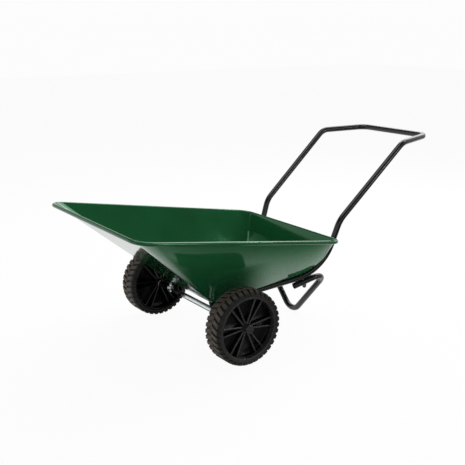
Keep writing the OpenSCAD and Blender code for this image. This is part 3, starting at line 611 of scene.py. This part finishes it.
def on_rail_bend(turn):
    """Point, inward direction and heading on the bend behind the tray, at a turn from its start."""
    start, ahead, side, _ = bend_at(*frame_corners()[:3], RAIL_BEND_R)
    inward = side * math.cos(turn) - ahead * math.sin(turn)
    point = start + side * RAIL_BEND_R - inward * RAIL_BEND_R
    return point, inward, ahead * math.cos(turn) + side * math.sin(turn)


def frame_path():
    """Middle line of the frame tube: rails, handles and cross bar."""
    left, radii = frame_corners(), [RAIL_BEND_R] + HANDLE_BENDS
    return bent_path(left + [flip(p) for p in left[::-1]], radii + radii[::-1])


def stand_path():
    """Middle line of the stand: along under both rail bends and down to its foot."""
    s = sizes()
    point, inward, heading = on_rail_bend(STAND_TURN)
    seat = point - inward * (2 * s.tube_r + SEAT)
    tip, top = seat - heading * STAND_FORE, seat + heading * STAND_AFT
    foot = Vector((-FOOT_X, 0, s.tube_r))
    axis = Vector((top.x, 0, top.z)) - foot
    rise = axis.length - FOOT_R
    lean = math.atan2(rise, top.y) + math.asin(FOOT_R / math.hypot(rise, top.y))
    low = foot - axis.normalized() * FOOT_R * (1 / math.cos(lean) - 1)
    return bent_path([tip, top, low, flip(top), flip(tip)], [LEG_CORNER_R, FOOT_R, LEG_CORNER_R])


class TrayLines:
    """Rim, floor edge and walls of the tray."""

    def __init__(self, fine):
        s = sizes()
        self.s = s
        pitch = math.atan2(s.lip_z - s.rear_z, s.lip_x + s.rear_x)
        long = math.hypot(s.lip_x + s.rear_x, s.lip_z - s.rear_z)
        taper = math.atan2((s.lip_w - s.rear_w) / 2, long)
        drop = s.corner_r / math.cos(taper)
        self.turn = math.pi / 2 + taper
        self.back_c = (s.corner_r, s.rear_w / 2 + s.corner_r * math.tan(taper) - drop)
        self.front_c = (long - s.corner_r, s.lip_w / 2 - s.corner_r * math.tan(taper) - drop)
        self.ahead = Vector((math.cos(pitch), 0, math.sin(pitch)))
        self.up = Vector((-math.sin(pitch), 0, math.cos(pitch)))
        self.reach = s.press_r + s.bead_r - s.sheet
        self.edges(fine)

    def out(self, a):
        """Outward direction in the rim's plane, turned from straight ahead."""
        return self.ahead * math.cos(a) + Vector((0, math.sin(a), 0))

    def rim(self, corner, a):
        """Point of the rim on a corner's round."""
        start = Vector((-self.s.rear_x, 0, self.s.rear_z))
        return start + self.ahead * corner[0] + Vector((0, corner[1], 0)) + self.out(a) * self.s.corner_r

    def tilt(self, rim, out, edge):
        """Angle of the wall's normal below the rim's plane."""
        over, up = (rim - edge).dot(out), (rim - edge).dot(self.up)
        return math.acos(self.reach / math.hypot(over, up)) - math.atan2(up, over)

    def wall(self, rim, out, edge):
        """Outward normal of the wall between a rim point and the middle of the pressed edge."""
        tilt = self.tilt(rim, out, edge)
        return out * math.cos(tilt) - self.up * math.sin(tilt)

    def edges(self, fine):
        """Middle of the left pressed edge and the floor's downward normal, from the fold to the rear."""
        s = self.s
        z0 = rail_at(0).z + (s.tube_r + SEAT) / math.cos(RAIL_PITCH)
        tan, cos, sin = math.tan(RAIL_PITCH), math.cos(RAIL_PITCH), math.sin(RAIL_PITCH)
        steep = math.tan(REAR_SLOPE)
        # Bend of the floor up to the rear, which starts just behind the start of the rails' own bend
        foot = -s.rear_x + (s.bead_r - s.sheet) / math.sin(REAR_SLOPE) + (s.rear_z - AXLE.z) / steep
        turn_x = (foot - (z0 - AXLE.z) / steep) / (1 - tan / steep)
        turn = REAR_SLOPE - RAIL_PITCH
        start, inward, _ = on_rail_bend(0)
        begin = start.x + inward.x * s.tube_r
        bend_r = ((begin - turn_x) / cos - TRAY_LAG) / math.tan(turn / 2)
        cut = bend_r * math.tan(turn / 2)
        bend_c = Vector((turn_x + cut * cos + bend_r * sin, 0, z0 - turn_x * tan - cut * sin + bend_r * cos))
        # Fold between the floor and the front, and the plane of the side wall through it
        fold_z = z0 - s.fold_x * tan
        fold_turn = math.atan2(s.lip_z - fold_z, s.lip_x - s.fold_x) + RAIL_PITCH
        back = s.press_r * math.tan(fold_turn / 2)
        fold = Vector((s.fold_x - back * cos + s.press_r * sin, 0, fold_z + back * sin + s.press_r * cos))
        side_rim = self.rim(self.front_c, self.turn)
        lip, rear = Vector((s.lip_x, s.lip_w / 2, s.lip_z)), Vector((-s.rear_x, s.rear_w / 2, s.rear_z))
        n = (rear - lip).cross(Vector((s.fold_x, s.fold_w / 2, fold_z)) - lip)
        fold_y = lip.y - (n.x * (fold.x - lip.x) + n.z * (fold.z - lip.z)) / n.y
        fold_y -= s.press_r * n.length / abs(n.y)
        w = self.wall(side_rim, self.out(self.turn), fold + Vector((0, fold_y, 0)))
        level = w.dot(side_rim) - self.reach
        slopes = [RAIL_PITCH + (turn - REAR_CREASE) * t for t in spread(2 * fine)]
        inner_r = bend_r - s.press_r
        bend = [bend_c - Vector((math.sin(a), 0, math.cos(a))) * inner_r for a in slopes]
        flat = [lerp(fold, bend[0], t) for t in spread(fine)[:-1]]
        self.press = [Vector((q.x, (level - w.x * q.x - w.z * q.z) / w.y, q.z)) for q in flat + bend]
        self.down = [Vector((-math.sin(a), 0, -math.cos(a))) for a in [RAIL_PITCH] * len(flat) + slopes]

    def columns(self, fine):
        """Columns of the left half of the sheet, from mid front to mid rear.

        Each is a rim point, its outward direction, the middle of the pressed edge, the floor's normal
        and a share of the side panel's bow.
        """
        first, last = self.press[0], self.press[-1]
        front, rear = self.rim(self.front_c, 0), self.rim(self.back_c, math.pi)
        cols = []

        def column(rim, a, edge, i, bow=0.0):
            cols.append((rim, self.out(a), edge, self.down[i], bow))

        for t in spread(fine)[:-1]:
            column(across(front, t), 0, across(first, t), 0)
        for t in spread(fine):
            a = self.turn * t
            column(self.rim(self.front_c, a), a, first, 0)
        begin, end = self.rim(self.front_c, self.turn), self.rim(self.back_c, self.turn)
        run = [0.0]
        for p, q in zip(self.press, self.press[1:]):
            run.append(run[-1] + (q - p).length)
        for i in range(1, len(self.press)):
            t = run[i] / run[-1]
            column(lerp(begin, end, t), self.turn, self.press[i], i, 1 - abs(2 * t - 1) ** CROWN_FADE)
        for t in spread(fine)[1:]:
            a = lerp(self.turn, math.pi, t)
            column(self.rim(self.back_c, a), a, last, -1)
        for t in spread(fine)[1:]:
            column(across(rear, 1 - t), math.pi, across(last, 1 - t), -1)
        return cols


def turned(a, b, t):
    """Part of the way from direction a to direction b."""
    turn = a.angle(b)
    return a if turn < 1e-6 else (a * math.sin(turn * (1 - t)) + b * math.sin(turn * t)) / math.sin(turn)


def tray_mesh():
    """The pressed sheet in one skin: floor, bend, walls and the rim rolled outwards."""
    fine, press_steps, roll_steps, wall_steps = 12, 6, 30, 10
    lines = TrayLines(fine)
    s = sizes()
    depths = (s.press_r - s.sheet, s.press_r)

    def column(rim, out, edge, floor, bow):
        w, tilt = lines.wall(rim, out, edge), lines.tilt(rim, out, edge)
        pressed = [turned(floor, w, t) for t in spread(press_steps)]
        inside, outside = [[edge + way * depth for way in pressed] for depth in depths]
        angles = [math.pi - tilt - CURL_SWEEP * t for t in spread(roll_steps)]
        rolls = []
        for radius in (s.bead_r, s.bead_r - s.sheet):
            rolls.append([rim + (out * math.cos(a) + lines.up * math.sin(a)) * radius for a in angles])
        # The bow is full at half height and nothing at the rim and the pressed edge
        inner = spread(wall_steps)[1:-1]
        swell = [w * (SIDE_CROWN * bow * 4 * t * (1 - t)) for t in inner]
        up = [lerp(inside[-1], rolls[0][0], t) + b for t, b in zip(inner, swell)]
        down = [lerp(rolls[1][0], outside[-1], t) + b for t, b in zip(inner, swell)]
        return inside + up + rolls[0] + rolls[1][::-1] + down + outside[::-1]

    left = [column(*values) for values in lines.columns(fine)]
    ring = left + [[flip(p) for p in v] for v in left[::-1]][1:-1]
    rows = len(ring[0])
    verts = [place(p) for v in ring for p in v]
    faces = []
    for j in range(len(ring)):
        a, b = j * rows, (j + 1) % len(ring) * rows
        faces += [(a + k, a + k + 1, b + k + 1, b + k) for k in range(rows - 1)]
    # Floor and bend, across from edge to edge, once for each side of the sheet
    shares = [2 * t - 1 for t in spread(2 * fine)]
    wide = len(shares)
    for depth in depths:
        base = len(verts)
        for edge, floor in zip(lines.press, lines.down):
            verts += [place(across(edge, t) + floor * depth) for t in shares]
        for i in range(len(lines.press) - 1):
            for k in range(wide - 1):
                a = base + i * wide + k
                faces.append((a, a + 1, a + 1 + wide, a + wide))
    return mesh_from("tray_sheet", verts, faces, merge=2e-6, sharp=50.0)


class BARROW_OT_tray(bpy.types.Operator):
    """Pressed tray with its rolled rim"""
    bl_idname = "barrow.tray"
    bl_label = "Tray"

    def execute(self, context):
        green = finish(green_stoved_enamel)
        obj = piece("pressed_tray", tray_mesh(), green, "chassis", ["tray"])
        # Weighted normals keep the wide panels even beside their rounded edges
        modifier = obj.modifiers.new("panel_normals", "WEIGHTED_NORMAL")
        modifier.keep_sharp = True
        obj.data = baked(obj, modifier)
        return {"FINISHED"}


class BARROW_OT_tubes(bpy.types.Operator):
    """Frame tube with rails, handles and cross bar, and the V-shaped stand"""
    bl_idname = "barrow.tubes"
    bl_label = "Tubes"

    def execute(self, context):
        s = sizes()
        black = finish(black_tube_enamel)
        for name, node, path in (("bent_frame_tube", "frame_tube", frame_path()),
                                 ("bent_stand_tube", "stand", stand_path())):
            skin = open_tube(node + "_skin", path, s.tube_r, s.tube_wall)
            piece(name, skin, black, "chassis", [node])
        return {"FINISHED"}


# Axle, wheels and tyres

def turned_mesh(name, outline, edge, closed=True, steps=64):
    """A turned piece with broken edges; an outline that isn't closed starts and ends on the axle line."""
    verts, faces = lathe(round_corners(outline, edge, closed=closed), steps, closed)
    return mesh_from(name, [v + AXLE_MID for v in verts], faces)


class BARROW_OT_axle(bpy.types.Operator):
    """Plated axle bar with its turned ends, and the spacers that keep the wheels out"""
    bl_idname = "barrow.axle"
    bl_label = "Axle"

    def execute(self, context):
        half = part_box("axle")[1].y
        outline = [(0, -half), (JOURNAL_R, -half), (JOURNAL_R, -BAR_HALF), (BAR_R, -BAR_HALF),
                   (BAR_R, BAR_HALF), (JOURNAL_R, BAR_HALF), (JOURNAL_R, half), (0, half)]
        bar = turned_mesh("axle_skin", outline, BAR_EDGE, closed=False)
        piece("turned_axle", bar, finish(bright_zinc_plate), "chassis", ["axle"])
        plastic = finish(black_moulded_polypropylene)
        for side in SIDES:
            node = side + "_wheel_spacer"
            lo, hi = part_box(node)
            bore, rim = JOURNAL_R + FIT_GAP, (hi.z - lo.z) / 2
            outline = [(bore, lo.y), (rim, lo.y), (rim, hi.y), (bore, hi.y)]
            spacer = turned_mesh(node + "_skin", outline, SPACER_EDGE)
            piece("moulded_" + node, spacer, plastic, "chassis", [node])
        return {"FINISHED"}


class BARROW_OT_fastenings(bpy.types.Operator):
    """Finish of the solids that stay in view: hangers, bolts, nuts, washers, pins, rings and bushes"""
    bl_idname = "barrow.fastenings"
    bl_label = "Fastenings"

    def execute(self, context):
        for node in ("left_axle_hanger", "right_axle_hanger", "hanger_bolts", "hanger_nuts"):
            dress(node, finish(black_tube_enamel))
        for node in ("axle_washers", "split_pins", "retaining_rings", "tray_bolts", "tray_washers",
                     "tray_nuts", "stand_bolts", "stand_washers", "stand_nuts"):
            dress(node, finish(bright_zinc_plate))
        for side in SIDES:
            dress(side + "_hub_bushes", finish(natural_nylon))
        return {"FINISHED"}


def rib_pair(name, low, high, inner, outer):
    """A pair of ribs of a wheel face, tapered for the mould, with rounded crowns, from the hub to the rim."""
    base, tip, edge, lean = RIB_THICK * 0.75, RIB_THICK * 0.5, RIB_THICK * 0.3, math.radians(75)
    sign = 1 if high > low else -1
    section = [(-base, low), (base, low)]
    for t in spread(6):
        a = lean * (1 - 2 * t)
        section.append((math.sin(a) * tip, high - sign * edge * (1 - math.cos(a))))
    verts = [Vector((x, y, lerp(inner, outer, t))) for t in spread(8) for x, y in section]
    faces = capped(verts, len(section))
    pair = []
    for hand in (-1, 1):
        turn = Matrix.Rotation(hand * RIB_SPREAD, 4, "Y") @ Matrix.Translation(Vector((0, 0, -inner)))
        turn = Matrix.Translation(Vector((hand * RIB_FOOT, 0, inner))) @ turn
        pair.append(mesh_from(name + "_one", [turn @ v for v in verts], faces))
    return joined(name, pair)


def wheel_mesh(material):
    """A moulded wheel about its own middle: disc, hub and rim, with ribs on both faces."""
    s = sizes()
    half, rim_in = s.tyre_w / 2 - RIM_BACK, s.rim_r - RIM_WALL
    bore, spigot, tip = s.hub_r - HUB_WALL, s.hub_r - SPIGOT_STEP, HUB_FACE + SPIGOT_LONG
    hub_in = s.tyre_w / 2 + HUB_PAST
    outline = [(bore, -hub_in), (s.hub_r, -hub_in), (s.hub_r, -WEB_HALF), (rim_in, -WEB_HALF),
               (rim_in, -half), (s.rim_r, -half), (s.rim_r, half), (rim_in, half),
               (rim_in, WEB_HALF), (s.hub_r, WEB_HALF), (s.hub_r, HUB_FACE), (spigot, HUB_FACE),
               (spigot, tip), (bore, tip)]
    profile = round_corners(outline, MOULD_EDGE, steps=4)
    disc = mesh_from("wheel_disc", *lathe(profile, steps=128, closed=True))
    reach, root = (s.hub_r - RIB_IN_HUB, rim_in + RIB_IN_RIM), WEB_HALF / 2
    pairs = [rib_pair("rib_out", root, RIB_CROWN, *reach), rib_pair("rib_in", -root, RIB_BACK - half, *reach)]
    return joined("wheel_skin", [disc] + [repeat_round(m, s.ribs, math.pi / 2, material) for m in pairs])


def on_wheel(mesh, sign):
    """A copy of a wheel's mesh on its side of the axle, with its outer face out."""
    turn = Matrix.Translation(Vector((AXLE.x, sign * WHEEL_Y, AXLE.z)))
    if sign < 0:
        turn = turn @ Matrix.Rotation(math.pi, 4, "Z")
    copy = mesh.copy()
    copy.transform(turn)
    return copy


def cap_mesh(node, sign):
    """A hub cap: a short cup with a broken edge, open towards the wheel."""
    lo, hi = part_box(node)
    near, far = (lo.y, hi.y) if sign > 0 else (hi.y, lo.y)
    r, bore, shelf = sizes().hub_r, sizes().hub_r - CAP_WALL + FIT_GAP, far - sign * CAP_WALL
    outline = [(bore, near), (r, near), (r, shelf), (r - CAP_WALL, far), (0, far)]
    verts, faces = lathe(round_corners(outline, CAP_EDGE, closed=False), steps=64)
    base = len(verts)
    inside, lining = lathe([(bore, near), (bore, shelf), (0, shelf)], steps=64)
    faces += [tuple(i + base for i in face) for face in lining]
    return mesh_from(node + "_skin", [v + AXLE_MID for v in verts + inside], faces)


class BARROW_OT_wheels(bpy.types.Operator):
    """Moulded wheels with paired ribs, and their hub caps"""
    bl_idname = "barrow.wheels"
    bl_label = "Wheels"

    def execute(self, context):
        plastic = finish(black_moulded_polypropylene)
        wheel = wheel_mesh(plastic)
        for side, sign in SIDES.items():
            body, cap = side + "_wheel", side + "_hub_cap"
            piece("moulded_" + body, on_wheel(wheel, sign), plastic, body, [body])
            piece("moulded_" + cap, cap_mesh(cap, sign), plastic, body, [cap])
        return {"FINISHED"}


def tread_block():
    """Points and faces of one slanted tread block, from beside the middle rib to the shoulder."""
    s = sizes()
    edge, shoulder = s.tyre_w / 2 - SHOULDER_R, SHOULDER_R
    half = math.tau * s.wheel_r / s.blocks * BLOCK_SHARE / 2
    stations = [(BLOCK_START, s.wheel_r - BLOCK_EDGE)]
    stations += [(y, s.wheel_r) for y in (BLOCK_START + BLOCK_LEAD, *BLOCK_ROWS, edge)]
    for t in spread(4)[1:]:
        a = SHOULDER_TURN * t
        stations.append((edge + shoulder * math.sin(a), s.wheel_r - shoulder * (1 - math.cos(a))))
    verts = []
    for y, r in stations:
        shift = math.tan(BLOCK_SLANT) * (y - BLOCK_START)
        root = (half + BLOCK_FLARE, r - s.tread - BLOCK_SINK)
        right = [(half - BLOCK_EDGE, r), (half, r - BLOCK_EDGE), root]
        section = [(-x, radius) for x, radius in right[::-1]] + right
        for x, radius in section:
            a = (x + shift) / s.wheel_r
            verts.append(Vector((radius * math.sin(a), y, radius * math.cos(a))))
    return verts, capped(verts, len(section))


def tyre_mesh(material):
    """A solid tyre about its own middle: body, middle rib and two rows of slanted tread blocks."""
    s = sizes()
    half, top, floor = s.tyre_w / 2, s.wheel_r, s.wheel_r - s.tread
    edge = half - SHOULDER_R
    side = [(top - down, y) for down, y in MIDDLE_RIB] + [(floor, RIB_ROOT), (floor, edge)]
    for t in spread(6)[1:]:
        a = math.pi / 2 * t
        side.append((floor - BODY_ROUND + BODY_ROUND * math.cos(a), edge + BODY_ROUND * math.sin(a)))
    side.append((top - SIDEWALL[0], half - SIDEWALL[1]))
    side += [(s.rim_r + past, half - back) for past, back in BEAD]
    body = mesh_from("tyre_body", *lathe(side + [(r, -y) for r, y in side[::-1]], steps=144, closed=True))
    verts, faces = tread_block()
    near = mesh_from("tread_block", verts, faces)
    far = mesh_from("tread_block_far", [flip(v) for v in verts], faces)
    rows = [repeat_round(near, s.blocks, 0.0, material),
            repeat_round(far, s.blocks, math.pi / s.blocks, material)]
    return joined("tyre_skin", [body] + rows)


class BARROW_OT_tyres(bpy.types.Operator):
    """Solid tyres with slanted tread blocks"""
    bl_idname = "barrow.tyres"
    bl_label = "Tyres"

    def execute(self, context):
        rubber = finish(solid_tyre_rubber)
        tyre = tyre_mesh(rubber)
        for side, sign in SIDES.items():
            node = side + "_tyre"
            piece("solid_" + node, on_wheel(tyre, sign), rubber, side + "_wheel", [node])
        return {"FINISHED"}


class BARROW_OT_stage(bpy.types.Operator):
    """Pale studio floor, soft light and the camera of the picture"""
    bl_idname = "barrow.stage"
    bl_label = "Stage"

    def execute(self, context):
        scene = context.scene
        scene.view_settings.view_transform = "Standard"
        self.floor(scene)
        self.world(scene)
        for lamp in LAMPS:
            self.lamp(scene, *lamp)
        self.camera(scene)
        return {"FINISHED"}

    def floor(self, scene):
        corners = [(x * FLOOR_REACH, y * FLOOR_REACH, 0) for x, y in ((-1, -1), (1, -1), (1, 1), (-1, 1))]
        mesh = bpy.data.meshes.new("studio_floor")
        mesh.from_pydata(corners, [], [(0, 1, 2, 3)])
        mesh.materials.append(finish(white_floor_paper))
        obj = bpy.data.objects.new("studio_floor", mesh)
        scene.collection.objects.link(obj)

    def world(self, scene):
        world = bpy.data.worlds.new("white_studio")
        world.use_nodes = True
        tree = world.node_tree
        tree.nodes.clear()
        path = add(tree, "ShaderNodeLightPath")
        aim = add(tree, "ShaderNodeTexCoord").outputs["Generated"]
        height = add(tree, "ShaderNodeSeparateXYZ", {"Vector": aim}).outputs["Z"]
        # White paper up to head height all round, a dim room above it
        dim = add(tree, "ShaderNodeMapRange", {
            "Value": height, "From Min": 0.30, "From Max": 0.50, "To Min": 0.90, "To Max": 0.10})
        light = add(tree, "ShaderNodeBackground", {"Color": (1, 1, 1, 1), "Strength": dim})
        # The far floor is a little under white, so the backdrop starts there and no line shows between them
        rise = add(tree, "ShaderNodeMapRange", {
            "Value": height, "From Max": 0.2, "To Min": 0.975, "To Max": 1.0})
        white = add(tree, "ShaderNodeBackground", {"Color": (1, 1, 1, 1), "Strength": rise})
        mix = add(tree, "ShaderNodeMixShader", {0: path.outputs["Is Camera Ray"], 1: light, 2: white})
        add(tree, "ShaderNodeOutputWorld", {"Surface": mix})
        scene.world = world

    def lamp(self, scene, name, at, size, power):
        data = bpy.data.lights.new(name, "AREA")
        data.shape, data.size, data.energy = "SQUARE", size, power
        obj = bpy.data.objects.new(name, data)
        obj.location = at
        obj.rotation_euler = (LAMP_AIM - Vector(at)).to_track_quat("-Z", "Y").to_euler()
        scene.collection.objects.link(obj)

    def camera(self, scene):
        data = bpy.data.cameras.new("picture_camera")
        data.sensor_width, data.sensor_fit = 36.0, "HORIZONTAL"
        data.lens = FOCAL_PX / PHOTO_PX * data.sensor_width
        data.shift_x = -(CENTRE_PX[0] - PHOTO_PX / 2) / PHOTO_PX
        data.shift_y = (CENTRE_PX[1] - PHOTO_PX / 2) / PHOTO_PX
        data.dof.use_dof = False
        obj = bpy.data.objects.new("picture_camera", data)
        obj.location = place(CAMERA_AT)
        flat = math.cos(ELEVATION)
        back = Vector((math.sin(AZIMUTH) * flat, -math.cos(AZIMUTH) * flat, math.sin(ELEVATION)))
        turn = back.to_track_quat("Z", "Y").to_matrix() @ Matrix.Rotation(ROLL, 3, "Z")
        obj.rotation_mode = "QUATERNION"
        obj.rotation_quaternion = turn.to_quaternion()
        scene.collection.objects.link(obj)
        scene.camera = obj


class BARROW_PT_panel(bpy.types.Panel):
    """Lists the pieces of the wheelbarrow"""
    bl_idname = "BARROW_PT_panel"
    bl_label = "Wheelbarrow"
    bl_space_type = "VIEW_3D"
    bl_region_type = "UI"
    bl_category = "Wheelbarrow"

    def draw(self, context):
        for op in STEPS:
            self.layout.operator(op.bl_idname)
        for group in (context.scene.barrow_sizes, context.scene.barrow_colours):
            for name in group.__annotations__:
                self.layout.prop(group, name)


STEPS = (BARROW_OT_stage, BARROW_OT_tray, BARROW_OT_tubes, BARROW_OT_axle, BARROW_OT_fastenings,
         BARROW_OT_wheels, BARROW_OT_tyres)
CLASSES = (WheelbarrowSizes, WheelbarrowColours) + STEPS + (BARROW_PT_panel,)


def register():
    for cls in CLASSES:
        bpy.utils.register_class(cls)
    bpy.types.Scene.barrow_sizes = bpy.props.PointerProperty(type=WheelbarrowSizes)
    bpy.types.Scene.barrow_colours = bpy.props.PointerProperty(type=WheelbarrowColours)


def unregister():
    del bpy.types.Scene.barrow_colours
    del bpy.types.Scene.barrow_sizes
    for cls in reversed(CLASSES):
        bpy.utils.unregister_class(cls)


def main():
    register()
    for op in STEPS:
        getattr(bpy.ops.barrow, op.bl_idname.split(".")[1])()


if __name__ == "__main__":
    main()
